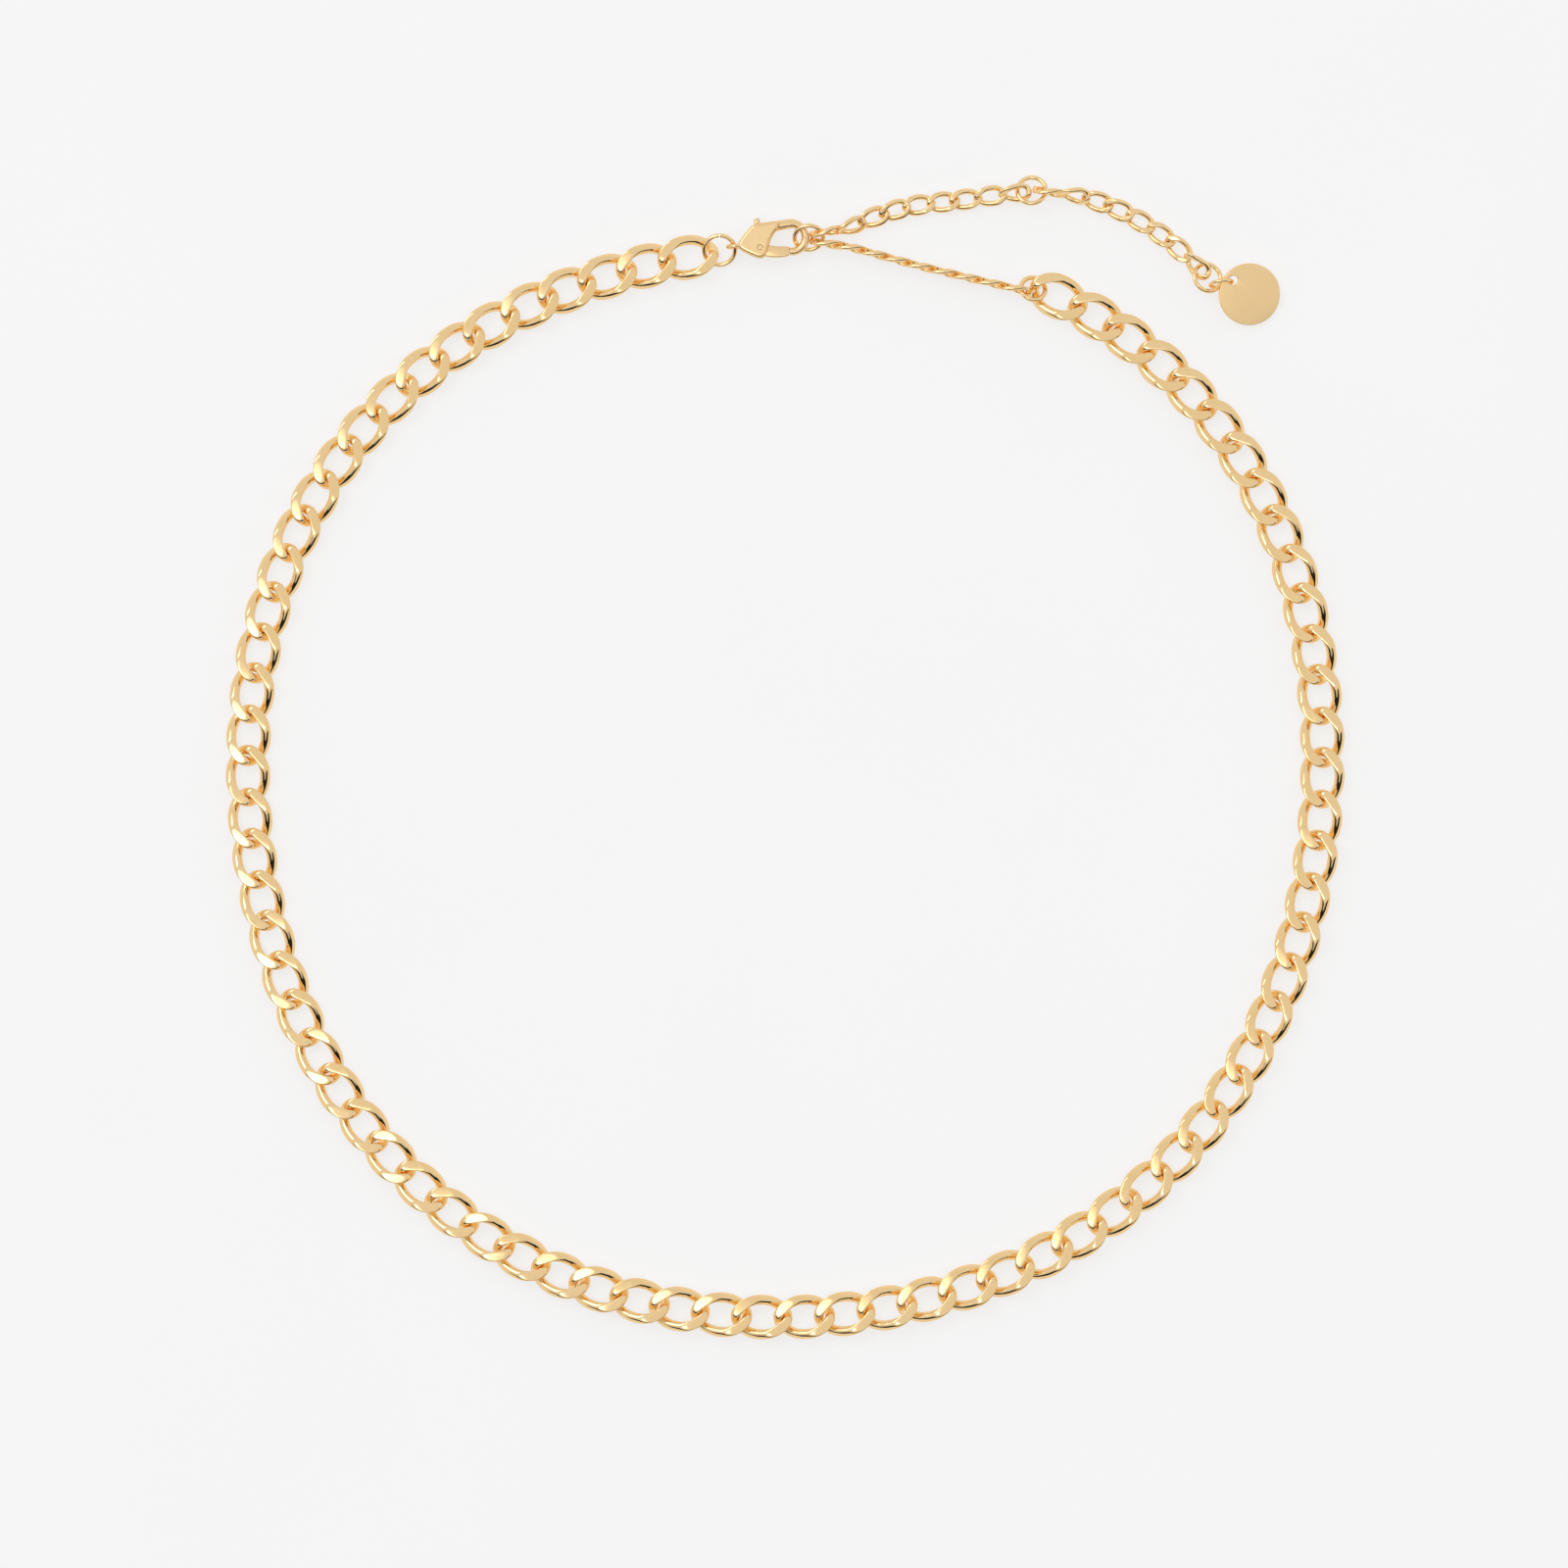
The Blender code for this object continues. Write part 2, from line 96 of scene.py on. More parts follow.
# Rings: node, radius to the middle of the wire, wire radius, middle, normal, slit in degrees, lengths in mm
RINGS = (
    ("sizing_ring_1", 1.68, 0.26, (2.94, 61.48, 1.21), (0.01, -0.57, 0.82), 0.0),
    ("sizing_ring_2", 1.68, 0.26, (29.31, 67.08, 1.07), (-0.06, 0.37, 0.93), 0.0),
    ("sizing_ring_3", 1.68, 0.26, (50.15, 56.76, 0.96), (0.34, 0.27, 0.90), 0.0),
    ("clasp_jump_ring", 1.84, 0.26, (-7.63, 60.01, 0.97), (-0.01, -0.39, 0.92), 4.0),
    ("extender_jump_ring", 1.45, 0.28, (29.50, 55.45, 0.88), (0.19, 0.39, 0.90), 4.0),
    ("tag_ring", 1.30, 0.21, (51.74, 56.03, 1.45), (-0.16, 0.96, -0.23), 4.0),
)

# Disc tag
TAG_RADIUS, TAG_THICKNESS, TAG_HOLE_RADIUS, TAG_HOLE_OFFSET = 3.66 * MM, 0.50 * MM, 0.58 * MM, 2.55 * MM
TAG_AT, TAG_HEADING, TAG_LEAN = (55.1, 54.8, 0.98), math.radians(-40.0), math.radians(11.0)
TAG_EDGE = 0.08 * MM

# Lobster clasp, in its own frame: x from the tail eye to the nose, y towards the trigger, points in mm
CLASP_AT, CLASP_HEADING = (-5.8, 60.45, 1.22), math.radians(4.5)
CLASP_THICKNESS, CLASP_SLOT, LEVER_THICKNESS = 2.20 * MM, 1.20 * MM, 1.04 * MM
# How far the edges of cheeks and lever are rounded, and the grain and rounds of the casting's own softening
CHEEK_EDGE, LEVER_EDGE = 0.34 * MM, 0.16 * MM
CASTING_GRAIN, RIVET_GRAIN, SOFTENING_ROUNDS = 0.045 * MM, 0.03 * MM, 4
# The rivet, the lever's play on it, its room in the casting, and how much longer it is than that is thick
RIVET_AT, RIVET_RADIUS, RIVET_PLAY = (3.00 * MM, -0.35 * MM), 0.30 * MM, 0.10 * MM
RIVET_ROOM, RIVET_HEADS = 0.03 * MM, 0.10 * MM
# The hook: the two points of its arm, then its nose, an arc, and how thick it is at each of these points
HOOK_ARM = ((3.3, 1.72), (4.9, 1.98))
NOSE_CENTRE, NOSE_RADIUS, NOSE_ANGLES, NOSE_STEPS = Vector((6.75 * MM, 0.50 * MM)), 1.66 * MM, (95, -102), 9
HOOK_RADIUS, HOOK_SIZES = 0.43 * MM, (1.40, 1.35, 1.30, 1.18, 1.08, 1.05, 1.08, 1.10, 1.12, 1.12, 1.10, 1.08)
# The tail eye: the radius to the middle of its wire, and the wire's radius
TAIL_EYE = (0.80 * MM, 0.26 * MM)
# The slot: where it starts and ends, and how far it reaches to each side, which is past the cheeks
SLOT_START, SLOT_END, SLOT_REACH = 0.95 * MM, 4.60 * MM, 4 * MM
SPRING_WIRE = 0.10 * MM
CHEEK_OUTLINE = (
    (0.45, 0.32), (1.30, 1.40), (2.15, 2.20), (2.70, 2.42), (4.00, 2.52), (5.20, 2.52), (5.30, 1.80),
    (4.55, 0.90), (3.95, -0.30), (3.50, -1.40), (2.80, -1.62), (2.10, -1.35), (1.20, -0.85), (0.50, -0.32),
)
LEVER_OUTLINE = (
    (2.35, 0.30), (2.40, 1.60), (2.45, 2.45), (2.50, 3.00), (3.12, 3.04), (3.20, 2.50), (3.45, 1.60),
    (3.75, 0.10), (4.50, -0.34), (5.70, -0.48), (6.39, -0.62), (6.36, -1.10), (6.22, -1.60), (5.40, -1.70),
    (4.20, -1.62), (3.10, -1.30), (2.30, -0.85), (2.20, -0.10),
)
SPRING_LINE = ((1.20, -0.35), (1.25, 0.60), (1.75, 1.15), (2.20, 0.80), (2.35, 0.45))

# How finely wires are divided: steps along a closed one, and sides
LINK_STEPS, LINK_SIDES = 72, 24
SMALL_STEPS, SMALL_SIDES = 48, 16
RING_STEPS, RING_SIDES = 72, 20
EYE_STEPS, EYE_SIDES = 40, 16
HOOK_SIDES, SPRING_SIDES = 24, 12
# Steps round a full circle, and between two points of a curve
TAG_STEPS, HOLE_STEPS, RIVET_STEPS = 128, 32, 48
OUTLINE_STEPS, HOOK_STEPS, SPRING_STEPS, ROUTE_STEPS = 6, 4, 10, 60
# Steps across a plate's rounded edge, and how near points are that are welded into one
EDGE_STEPS, WELD_DISTANCE = 3, 0.0005 * MM
# The turn in degrees from which an edge is drawn sharp, on wires and plain solids and on plates and castings
SHARP_ON_WIRE, SHARP_ON_PLATE = 50, 35

# The picture: how much of the ground it shows, what is at its middle, and how far off the camera is
VIEW_WIDTH = 185.8 * MM
VIEW_MIDDLE = (0.0, -3.19 * MM)
CAMERA_HEIGHT = 1.2
SENSOR_WIDTH, CAMERA_REACH = 36.0, 10.0

# The ground: its width, how far it is under the necklace, its two greys, its mottling and its own light
GROUND_WIDTH, GROUND_GAP = 6.0, 0.08 * MM
GROUND_GREYS, GROUND_MOTTLING, GROUND_GLOW = (0.285, 0.290), 30.0, 0.68

# The tent: its light, its dark card's light, and between which heights, nearness and strengths the card fades
TENT_LIGHT, CARD_LIGHT = 1.03, 0.02
CARD_FOOT, CARD_TOP, CARD_NEAR, CARD_FADE = (0.30, 0.38), (0.70, 0.80), (-0.28, -0.46), (0.10, 0.80)
# The tent's brighter patch: its direction, how bright it is, and from where to where it fades out
PATCH_AT, PATCH_LIGHT, PATCH_FADE = (-0.16, -0.13, 0.978), 4.0, (0.05, 0.17)
# The panel: its place and size in metres, and its power in watts
PANEL_AT, PANEL_SIZE, PANEL_POWER = (-0.5, 0.45, 0.75), (0.45, 0.35), 1.2

scene = bpy.context.scene


# Materials

# Noise scales, per metre: tone patches, uneven polish, polishing lines and slow waves
PATCH_SCALE, POLISH_SCALE, LINE_SCALE, WAVE_SCALE = 300.0, 900.0, 8000.0, 700.0
# Polishing lines: how much longer than wide, how strong and how deep. Waves: how deep
LINE_STRETCH, LINE_STRENGTH, LINE_DEPTH, WAVE_DEPTH = 9, 0.02, 0.005 * MM, 0.03 * MM
# Gold reflects a deeper colour at its edges
EDGE_TINT = (1.0, 0.66, 0.25, 1.0)


def new_material(name):
    """A node material and its Principled shader."""
    material = bpy.data.materials.new(name)
    material.use_nodes = True
    return material, material.node_tree, material.node_tree.nodes["Principled BSDF"]


def noise(tree, vector, scale, detail=3.0):
    """A noise texture over a vector."""
    node = tree.nodes.new("ShaderNodeTexNoise")
    node.inputs["Scale"].default_value = scale
    node.inputs["Detail"].default_value = detail
    tree.links.new(vector, node.inputs["Vector"])
    return node.outputs["Fac"]


def spread(tree, value, low, high, start=0.35, end=0.65):
    """A value stretched from start..end to low..high."""
    node = tree.nodes.new("ShaderNodeMapRange")
    node.inputs["From Min"].default_value = start
    node.inputs["From Max"].default_value = end
    node.inputs["To Min"].default_value = low
    node.inputs["To Max"].default_value = high
    tree.links.new(value, node.inputs["Value"])
    return node.outputs["Result"]


def maths(tree, operation, first, second):
    """Two values put together."""
    node = tree.nodes.new("ShaderNodeMath")
    node.operation = operation
    tree.links.new(first, node.inputs[0])
    tree.links.new(second, node.inputs[1])
    return node.outputs["Value"]


def bump(tree, height, strength, distance, under=None):
    """A bump from a height, over another one if it is given."""
    node = tree.nodes.new("ShaderNodeBump")
    node.inputs["Strength"].default_value = strength
    node.inputs["Distance"].default_value = distance
    tree.links.new(height, node.inputs["Height"])
    if under:
        tree.links.new(under, node.inputs["Normal"])
    return node.outputs["Normal"]


def two_tones(tree, vector, scale, first, second):
    """Two colours in soft patches."""
    node = tree.nodes.new("ShaderNodeMix")
    node.data_type = "RGBA"
    node.inputs["A"].default_value = (*first, 1.0)
    node.inputs["B"].default_value = (*second, 1.0)
    tree.links.new(spread(tree, noise(tree, vector, scale), 0.0, 1.0), node.inputs["Factor"])
    return node.outputs["Result"]


def gold(name, pale, deep, roughness, waves=0.10, unevenness=1.2):
    """Plated gold: two close tones in soft patches, an uneven polish, fine polishing lines and slow waves."""
    material, tree, shader = new_material(name)
    place = tree.nodes.new("ShaderNodeTexCoord").outputs["Object"]
    tree.links.new(two_tones(tree, place, PATCH_SCALE, pale, deep), shader.inputs["Base Color"])
    polish = spread(tree, noise(tree, place, POLISH_SCALE), roughness / unevenness, roughness * unevenness)
    tree.links.new(polish, shader.inputs["Roughness"])
    stretched = tree.nodes.new("ShaderNodeMapping")
    stretched.inputs["Scale"].default_value = (LINE_SCALE / LINE_STRETCH, LINE_SCALE, LINE_SCALE)
    tree.links.new(place, stretched.inputs["Vector"])
    lines = bump(tree, noise(tree, stretched.outputs["Vector"], 1.0, 2.0), LINE_STRENGTH, LINE_DEPTH)
    slow = bump(tree, noise(tree, place, WAVE_SCALE, 1.0), waves, WAVE_DEPTH, lines)
    tree.links.new(slow, shader.inputs["Normal"])
    shader.inputs["Metallic"].default_value = 1.0
    shader.inputs["Specular Tint"].default_value = EDGE_TINT
    return material


CHAIN = gold("chain_gold_polished", (0.96, 0.71, 0.39), (0.94, 0.67, 0.33), 0.09)
EXTENDER = gold("extender_gold_polished", (0.97, 0.71, 0.38), (0.94, 0.66, 0.32), 0.12)
RINGED = gold("ring_gold_polished", (0.97, 0.72, 0.39), (0.95, 0.68, 0.34), 0.10)
CLASP = gold("clasp_gold_satin", (0.93, 0.67, 0.36), (0.91, 0.65, 0.33), 0.22, 0.04, 1.05)
TAG = gold("tag_gold_satin", (0.96, 0.69, 0.36), (0.95, 0.68, 0.35), 0.26, 0.01, 1.03)
STEEL = gold("spring_steel_wire", (0.60, 0.58, 0.55), (0.50, 0.48, 0.46), 0.28)


def ground_paint():
    """Pale matt ground with a trace of mottling, lit from below as a light table is."""
    material, tree, shader = new_material("pale_ground")
    place = tree.nodes.new("ShaderNodeTexCoord").outputs["Object"]
    first, second = ((grey,) * 3 for grey in GROUND_GREYS)
    tree.links.new(two_tones(tree, place, GROUND_MOTTLING, first, second), shader.inputs["Base Color"])
    shader.inputs["Roughness"].default_value = 0.9
    shader.inputs["Specular IOR Level"].default_value = 0.1
    shader.inputs["Emission Color"].default_value = (1.0, 1.0, 1.0, 1.0)
    shader.inputs["Emission Strength"].default_value = GROUND_GLOW
    return material


# Shapes


def finish_mesh(shape, name, sharp=SHARP_ON_WIRE):
    """A bmesh made into a smooth-shaded mesh."""
    bmesh.ops.recalc_face_normals(shape, faces=shape.faces)
    mesh = bpy.data.meshes.new(name)
    shape.to_mesh(mesh)
    shape.free()
    mesh.shade_smooth()
    mesh.set_sharp_from_angle(angle=math.radians(sharp))
    return mesh


def swept(points, radii, sides, closed, name):
    """A round wire through points, with a radius at each, and flat ends if it is open."""
    shape = bmesh.new()
    count = len(points)
    middle = sum(points, Vector()) / count
    loops = []
    for index, at in enumerate(points):
        if closed:
            along = points[(index + 1) % count] - points[index - 1]
        else:
            along = points[min(index + 1, count - 1)] - points[max(index - 1, 0)]
        along.normalize()
        out = at - middle
        out = (out - along * out.dot(along)).normalized()
        side = along.cross(out)
        turns = [math.tau * step / sides for step in range(sides)]
        loops.append(
            [shape.verts.new(at + radii[index] * (out * math.cos(t) + side * math.sin(t))) for t in turns]
        )
    pairs = list(zip(loops, loops[1:])) + ([(loops[-1], loops[0])] if closed else [])
    for start, end in pairs:
        for side in range(sides):
            after = (side + 1) % sides
            shape.faces.new((start[side], start[after], end[after], end[side]))
    if not closed:
        shape.faces.new(loops[0])
        shape.faces.new(loops[-1])
    return finish_mesh(shape, name)


def soft_clamp(value, limit, softness):
    """A value held within +-limit, with a soft corner."""
    size = abs(value)
    # This far outside the limit the corner no longer matters
    if size > limit + 8 * softness:
        return math.copysign(limit, value)
    held = -softness * math.log(math.exp(-size / softness) + math.exp(-limit / softness))
    return math.copysign(max(held, 0.0), value)


def fuller(value):
    """A cosine or sine pushed outwards, which turns an ellipse into an oval with square shoulders."""
    return math.copysign(abs(value) ** (2 / LINK_FULLNESS), value)


def link_mesh(length, width, wire, thickness, steps, sides, name):
    """A flat curb link: an oval wire, its ends twisted against each other, with slightly crowned faces."""
    reach, spread_out = (length - wire) / 2, (width - wire) / 2
    points = []
    for step in range(steps):
        turn = math.tau * (step + 0.5) / steps
        twist = LINK_TWIST * math.cos(turn)
        out = spread_out * fuller(math.sin(turn))
        points.append(Vector((reach * fuller(math.cos(turn)), out * math.cos(twist), -out * math.sin(twist))))
    mesh = swept(points, [wire / 2] * steps, sides, True, name)
    for vertex in mesh.vertices:
        face = thickness / 2 * (1 - LINK_CROWN * (vertex.co.x / reach) ** 2)
        vertex.co.z = soft_clamp(vertex.co.z, face, thickness * LINK_SOFTNESS)
    return mesh


def circle(radius, steps, middle=(0.0, 0.0)):
    """Points round a circle."""
    turns = [math.tau * step / steps for step in range(steps)]
    return [(middle[0] + radius * math.cos(turn), middle[1] + radius * math.sin(turn)) for turn in turns]


def ring_mesh(radius, wire_radius, slit, steps, sides, name):
    """A round ring in XY, closed or with a narrow slit at +X."""
    gap = math.radians(slit)
    count = steps + (1 if slit else 0)
    turns = [gap / 2 + (math.tau - gap) * step / steps for step in range(count)]
    points = [Vector((radius * math.cos(turn), radius * math.sin(turn), 0.0)) for turn in turns]
    return swept(points, [wire_radius] * count, sides, not slit, name)


def curve_point(before, start, end, after, t):
    """The Catmull-Rom point at t between start and end."""
    line = 2 * start + (end - before) * t
    bend = (2 * before - 5 * start + 4 * end - after) * t**2
    return 0.5 * (line + bend + (3 * start - before - 3 * end + after) * t**3)


def smooth_outline(corners):
    """A closed smooth outline through corners given in mm."""
    corners = [Vector(corner) * MM for corner in corners]
    count, outline = len(corners), []
    for index in range(count):
        before, start, end, after = (corners[(index + shift) % count] for shift in (-1, 0, 1, 2))
        for step in range(OUTLINE_STEPS):
            outline.append(curve_point(before, start, end, after, step / OUTLINE_STEPS))
    return outline


def smooth_path(points, steps):
    """A smooth open curve through points, with so many steps between each two."""
    ends = [2 * points[0] - points[1], *points, 2 * points[-1] - points[-2]]
    path = []
    for before, start, end, after in zip(ends, ends[1:], ends[2:], ends[3:]):
        path += [curve_point(before, start, end, after, step / steps) for step in range(steps)]
    return path + [points[-1]]


def plate_mesh(outline, thickness, edge, name, hole=None):
    """A flat plate with rounded edges, and a round hole, as its middle and radius, if one is given."""
    curve = bpy.data.curves.new(name, "CURVE")
    curve.dimensions = "2D"
    curve.fill_mode = "BOTH"
    curve.extrude = thickness / 2 - edge
    curve.bevel_depth = edge
    curve.bevel_resolution = EDGE_STEPS
    curve.offset = -edge
    rims = [outline]
    if hole:
        middle, radius = hole
        rims.append(circle(radius, HOLE_STEPS, middle))
    for rim in rims:
        spline = curve.splines.new("POLY")
        spline.points.add(len(rim) - 1)
        for index, at in enumerate(rim):
            spline.points[index].co = (at[0], at[1], 0.0, 1.0)
        spline.use_cyclic_u = True
    return baked(bpy.data.objects.new(name, curve), name)


def baked(thing, name):
    """An object's evaluated mesh, welded. The object is removed."""
    scene.collection.objects.link(thing)
    bpy.context.view_layer.update()
    mesh = bpy.data.meshes.new_from_object(thing.evaluated_get(bpy.context.evaluated_depsgraph_get()))
    bpy.data.objects.remove(thing, do_unlink=True)
    shape = bmesh.new()
    shape.from_mesh(mesh)
    bmesh.ops.remove_doubles(shape, verts=shape.verts, dist=WELD_DISTANCE)
    return finish_mesh(shape, name, SHARP_ON_PLATE)


def booled(mesh, tools, operation, name):
    """A mesh with others joined to it or cut from it."""
    for tool_mesh in tools:
        base = bpy.data.objects.new("base", mesh)
        tool = bpy.data.objects.new("tool", tool_mesh)
        scene.collection.objects.link(tool)
        cut = base.modifiers.new("cut", "BOOLEAN")
        cut.operation = operation
        cut.solver = "EXACT"
        cut.object = tool
        mesh = baked(base, name)
        bpy.data.objects.remove(tool, do_unlink=True)
    return mesh


def softened(mesh, voxel, rounds, name):
    """A mesh remade with an even surface and its edges rounded, as a casting has."""
    thing = bpy.data.objects.new(name, mesh)
    remesh = thing.modifiers.new("even", "REMESH")
    remesh.mode = "VOXEL"
    remesh.voxel_size = voxel
    smooth = thing.modifiers.new("round", "SMOOTH")
    smooth.factor = 0.5
    smooth.iterations = rounds
    return baked(thing, name)


def placed(name, mesh, place, node, material, stands=True):
    """One piece of the necklace, riding with a CAD node and standing for it unless another piece does."""
    mesh.materials.clear()
    mesh.materials.append(material)
    piece = bpy.data.objects.new(name, mesh)
    scene.collection.objects.link(piece)
    piece.matrix_world = place
    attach(piece, BODY_OF[node])
    if stands:
        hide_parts(node)
    return piece


def laid(at, heading, roll=0.0):
    """Where a link stands: at a point, along a heading, rolled about its own length."""
    return Matrix.Translation(at) @ Matrix.Rotation(heading, 4, "Z") @ Matrix.Rotation(roll, 4, "X")


# The curb chain and the extender


def loop_point(turn):
    """The middle of the curb chain at an angle around the loop."""
    radius = LOOP_RADIUS
    for order, (cosine, sine) in enumerate(LOOP_WAVES, 1):
        radius += MM * (cosine * math.cos(order * turn) + sine * math.sin(order * turn))
    return LOOP_CENTRE + radius * Vector((math.cos(turn), math.sin(turn)))


def walk(path, distances):
    """Points at given distances along a finely divided path, each with the path's heading there."""
    found, travelled, index = [], 0.0, 0
    for distance in distances:
        while index < len(path) - 2 and travelled + (path[index + 1] - path[index]).length < distance:
            travelled += (path[index + 1] - path[index]).length
            index += 1
        step = path[index + 1] - path[index]
        at = path[index] + step * (distance - travelled) / step.length
        found.append((at, math.atan2(step.y, step.x)))
    return found


def pitches(count, per_run, tight, loose):
    """Distances along the chain of its links: tight within a run, loose between runs."""
    distances = [0.0]
    for index in range(1, count):
        distances.append(distances[-1] + (loose if index % per_run == 0 else tight))
    return distances


def linked_up(name, places, per_run, mesh, material, first=1):
    """The links of a stretch of chain, each riding with its run."""
    for index, place in enumerate(places):
        start = index - index % per_run
        end = min(start + per_run, len(places))
        run = f"{name}s_{first + start:02d}_{first + end - 1:02d}"
        placed(f"{name}_{first + index:02d}", mesh, place, run, material, stands=index == start)


def curb_chain():
    """Links 1 to 74, clockwise from the extender's end, round the front, to the clasp's end."""
    path = [loop_point(LOOP_START - LOOP_SWEEP * step / LOOP_STEPS) for step in range(LOOP_STEPS)]
    stations = walk(path, pitches(LINK_COUNT, LINK_RUN, LINK_TIGHT_PITCH, LINK_LOOSE_PITCH))
    mesh = link_mesh(LINK_LENGTH, LINK_WIDTH, LINK_WIRE, LINK_THICKNESS, LINK_STEPS, LINK_SIDES, "curb_link")
    rolls = [LINK_ROLL * math.sin(ROLL_STEP * index) for index in range(LINK_COUNT)]
    places = [laid((*at, LINK_THICKNESS / 2), heading, roll) for (at, heading), roll in zip(stations, rolls)]
    linked_up("curb_link", places, LINK_RUN, mesh, CHAIN)


def extender_section(points, rolls, mesh, first):
    """Small links along a route, one for each roll in degrees."""
    path = smooth_path([Vector((x * MM, y * MM)) for x, y in points], ROUTE_STEPS)
    distances = pitches(len(rolls), EXTENDER_RUN, SMALL_TIGHT_PITCH, SMALL_LOOSE_PITCH)
    places = []
    for (at, heading), roll in zip(walk(path, distances), rolls):
        tilt = math.radians(roll)
        height = (abs(math.sin(tilt)) * SMALL_WIDTH + abs(math.cos(tilt)) * SMALL_THICKNESS) / 2
        places.append(laid((*at, height), heading, tilt))
    linked_up("extender_link", places, EXTENDER_RUN, mesh, EXTENDER, first)


def extender():
    """The three sections of small links."""
    mesh = link_mesh(
        SMALL_LENGTH, SMALL_WIDTH, SMALL_WIRE, SMALL_THICKNESS, SMALL_STEPS, SMALL_SIDES, "extender_link"
    )
    extender_section(SECTION_ONE, SECTION_ONE_ROLLS, mesh, 1)
    extender_section(SECTION_TWO, SECTION_TWO_ROLLS, mesh, 10)
    extender_section(SECTION_THREE, SECTION_THREE_ROLLS, mesh, 19)


def rings():
    """Sizing rings, jump rings and the tag's ring, with each slit a quarter turn on from the ring's own X."""
    quarter_turn = Matrix.Rotation(math.radians(90), 4, "Z")
    for name, radius, wire_radius, at, normal, slit in RINGS:
        mesh = ring_mesh(radius * MM, wire_radius * MM, slit, RING_STEPS, RING_SIDES, name)
        tilt = Vector((0, 0, 1)).rotation_difference(Vector(normal)).to_matrix().to_4x4()
        place = Matrix.Translation(Vector(at) * MM) @ tilt @ quarter_turn
        placed(f"{name}_wire", mesh, place, name, RINGED)


def disc_tag():
    """A plain round tag with rounded edges and a hole."""
    outline = circle(TAG_RADIUS, TAG_STEPS)
    hole = (-TAG_HOLE_OFFSET, 0.0), TAG_HOLE_RADIUS
    mesh = plate_mesh(outline, TAG_THICKNESS, TAG_EDGE, "disc_tag_plate", hole)
    lean = Matrix.Rotation(TAG_HEADING, 4, "Z") @ Matrix.Rotation(TAG_LEAN, 4, "Y")
    place = Matrix.Translation(Vector(TAG_AT) * MM) @ lean
    placed("disc_tag_plate", mesh, place, "disc_tag", TAG)


# The lobster clasp


def cylinder_mesh(radius, length, at, name):
    """A cylinder along z, centred on a point."""
    shape = bmesh.new()
    bmesh.ops.create_cone(
        shape, cap_ends=True, segments=RIVET_STEPS, radius1=radius, radius2=radius, depth=length,
        matrix=Matrix.Translation(at),
    )
    return finish_mesh(shape, name)


def box_mesh(low, high, name):
    """A box between two corners."""
    size = Vector(high) - Vector(low)
    shape = bmesh.new()
    bmesh.ops.create_cube(shape, size=1.0)
    bmesh.ops.scale(shape, vec=size, verts=shape.verts)
    bmesh.ops.translate(shape, vec=Vector(low) + size / 2, verts=shape.verts)
    return finish_mesh(shape, name)


def clasp_casting():
    """Two cheeks with a slot between them, the hook round the nose and the tail eye, in one casting."""
    cheeks = plate_mesh(smooth_outline(CHEEK_OUTLINE), CLASP_THICKNESS, CHEEK_EDGE, "clasp_casting")
    start, end = (math.radians(angle) for angle in NOSE_ANGLES)
    turns = [start + (end - start) * step / NOSE_STEPS for step in range(NOSE_STEPS + 1)]
    arm = [Vector(at) * MM for at in HOOK_ARM]
    nose = [NOSE_CENTRE + NOSE_RADIUS * Vector((math.cos(turn), math.sin(turn))) for turn in turns]
    line = smooth_path([Vector((*at, 0.0)) for at in arm + nose], HOOK_STEPS)
    sizes = smooth_path([Vector((size, 0.0)) for size in HOOK_SIZES], HOOK_STEPS)
    hook = swept(line, [HOOK_RADIUS * size.x for size in sizes], HOOK_SIDES, False, "hook")
    eye = ring_mesh(*TAIL_EYE, 0.0, EYE_STEPS, EYE_SIDES, "eye")
    eye.transform(Matrix.Rotation(math.radians(90), 4, "X"))
    body = booled(cheeks, [hook, eye], "UNION", "clasp_casting")
    slot_low = SLOT_START, -SLOT_REACH, -CLASP_SLOT / 2
    slot_high = SLOT_END, SLOT_REACH, CLASP_SLOT / 2
    slot = box_mesh(slot_low, slot_high, "slot")
    bore = cylinder_mesh(RIVET_RADIUS + RIVET_ROOM, 2 * CLASP_THICKNESS, (*RIVET_AT, 0.0), "bore")
    body = booled(body, [slot, bore], "DIFFERENCE", "clasp_casting")
    return softened(body, CASTING_GRAIN, SOFTENING_ROUNDS, "clasp_casting")


def clasp():
    """The lobster clasp: casting, rivet, sprung trigger lever and its spring."""
    place = Matrix.Translation(Vector(CLASP_AT) * MM) @ Matrix.Rotation(CLASP_HEADING, 4, "Z")
    placed("clasp_casting", clasp_casting(), place, "clasp_body", CLASP)
    rivet = cylinder_mesh(RIVET_RADIUS, CLASP_THICKNESS + RIVET_HEADS, (*RIVET_AT, 0.0), "clasp_rivet_pin")
    rivet = softened(rivet, RIVET_GRAIN, SOFTENING_ROUNDS, "clasp_rivet_pin")
    placed("clasp_rivet_pin", rivet, place, "clasp_rivet", CLASP)
    hole = RIVET_AT, RIVET_RADIUS + RIVET_PLAY
    lever = plate_mesh(smooth_outline(LEVER_OUTLINE), LEVER_THICKNESS, LEVER_EDGE, "clasp_gate", hole)
    placed("clasp_gate", lever, place, "clasp_lever", CLASP)
    line = smooth_path([Vector((x * MM, y * MM, 0.0)) for x, y in SPRING_LINE], SPRING_STEPS)
    spring = swept(line, [SPRING_WIRE] * len(line), SPRING_SIDES, False, "clasp_spring_wire")
    placed("clasp_spring_wire", spring, place, "clasp_spring", STEEL)


# Ground, light and camera


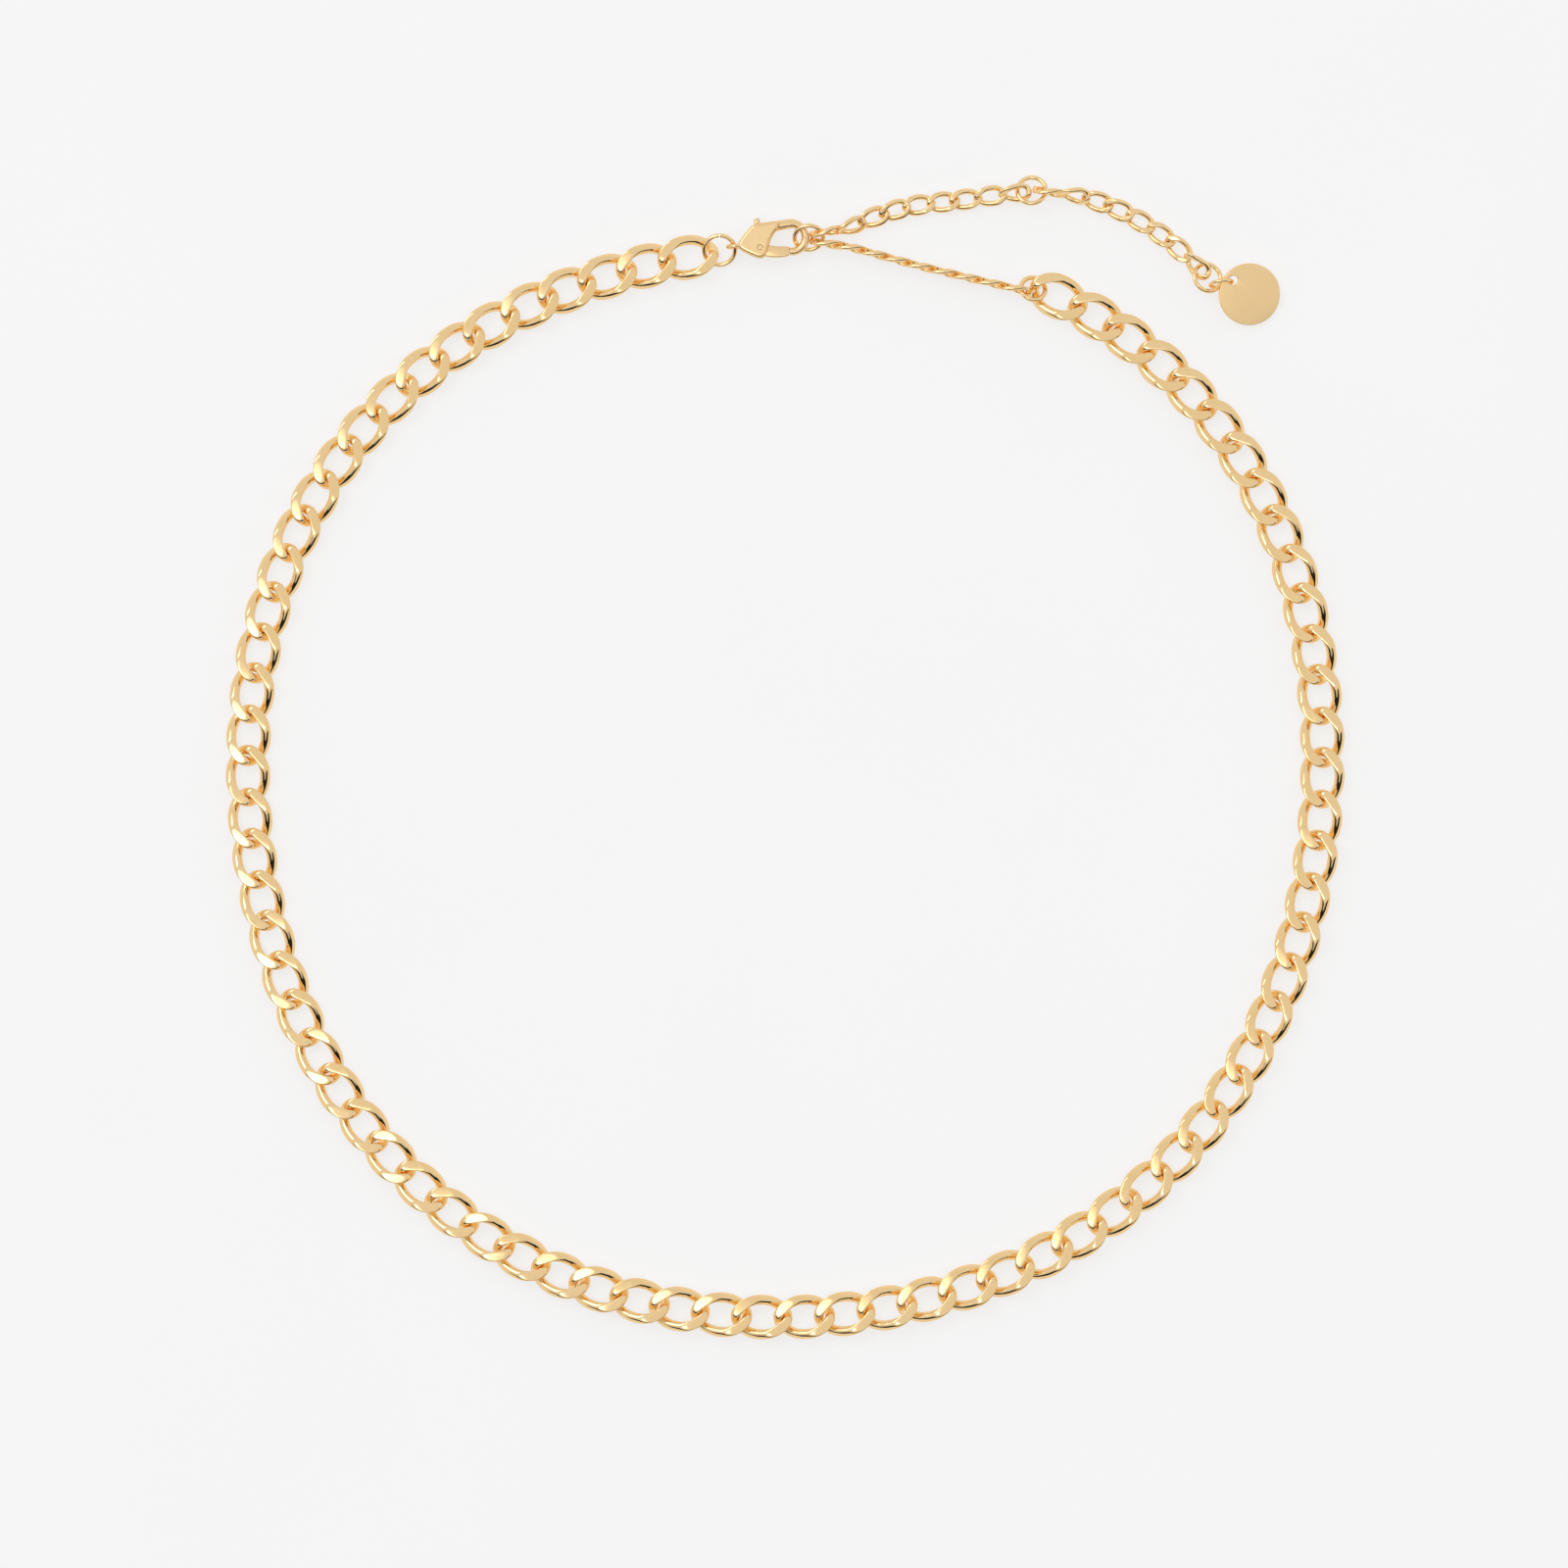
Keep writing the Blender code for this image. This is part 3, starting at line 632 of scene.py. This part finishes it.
def ground():
    """A wide pale ground just under the necklace."""
    bpy.ops.mesh.primitive_plane_add(size=GROUND_WIDTH, location=(0.0, 0.0, CAD_BOUNDS[0].z - GROUND_GAP))
    plane = bpy.context.object
    plane.name = "pale_ground"
    plane.data.materials.append(ground_paint())


def studio():
    """A bright tent with a dark card on its near side and a soft brighter patch high on the near left."""
    world = bpy.data.worlds.new("studio")
    scene.world = world
    world.use_nodes = True
    tree = world.node_tree
    tree.nodes.clear()
    direction = tree.nodes.new("ShaderNodeTexCoord").outputs["Generated"]
    split = tree.nodes.new("ShaderNodeSeparateXYZ")
    tree.links.new(direction, split.inputs["Vector"])
    above = spread(tree, split.outputs["Z"], 0.0, 1.0, *CARD_FOOT)
    below = spread(tree, split.outputs["Z"], 1.0, 0.0, *CARD_TOP)
    near = spread(tree, split.outputs["Y"], 0.0, 1.0, *CARD_NEAR)
    card = maths(tree, "MULTIPLY", maths(tree, "MULTIPLY", above, below), near)
    tent = spread(tree, card, TENT_LIGHT, CARD_LIGHT, *CARD_FADE)
    away = tree.nodes.new("ShaderNodeVectorMath")
    away.operation = "DISTANCE"
    away.inputs[1].default_value = PATCH_AT
    tree.links.new(direction, away.inputs[0])
    patch = spread(tree, away.outputs["Value"], PATCH_LIGHT, 0.0, *PATCH_FADE)
    background = tree.nodes.new("ShaderNodeBackground")
    tree.links.new(maths(tree, "ADD", tent, patch), background.inputs["Strength"])
    output = tree.nodes.new("ShaderNodeOutputWorld")
    tree.links.new(background.outputs["Background"], output.inputs["Surface"])


def key_panel():
    """A soft rectangular light, high at the far left, facing the middle of the necklace."""
    light = bpy.data.lights.new("key_panel", "AREA")
    light.shape = "RECTANGLE"
    light.size, light.size_y = PANEL_SIZE
    light.energy = PANEL_POWER
    lamp = bpy.data.objects.new("key_panel", light)
    scene.collection.objects.link(lamp)
    lamp.location = PANEL_AT
    lamp.rotation_euler = (-Vector(PANEL_AT)).to_track_quat("-Z", "Y").to_euler()


def camera():
    """A long lens straight above, the clasp at the top of the picture."""
    lens = bpy.data.cameras.new("camera")
    lens.sensor_width = SENSOR_WIDTH
    lens.lens = SENSOR_WIDTH * CAMERA_HEIGHT / VIEW_WIDTH
    lens.clip_end = CAMERA_REACH
    view = bpy.data.objects.new("camera", lens)
    scene.collection.objects.link(view)
    view.location = (*VIEW_MIDDLE, CAMERA_HEIGHT)
    scene.camera = view


curb_chain()
extender()
rings()
disc_tag()
clasp()
ground()
studio()
key_panel()
camera()
scene.view_settings.view_transform = "Standard"
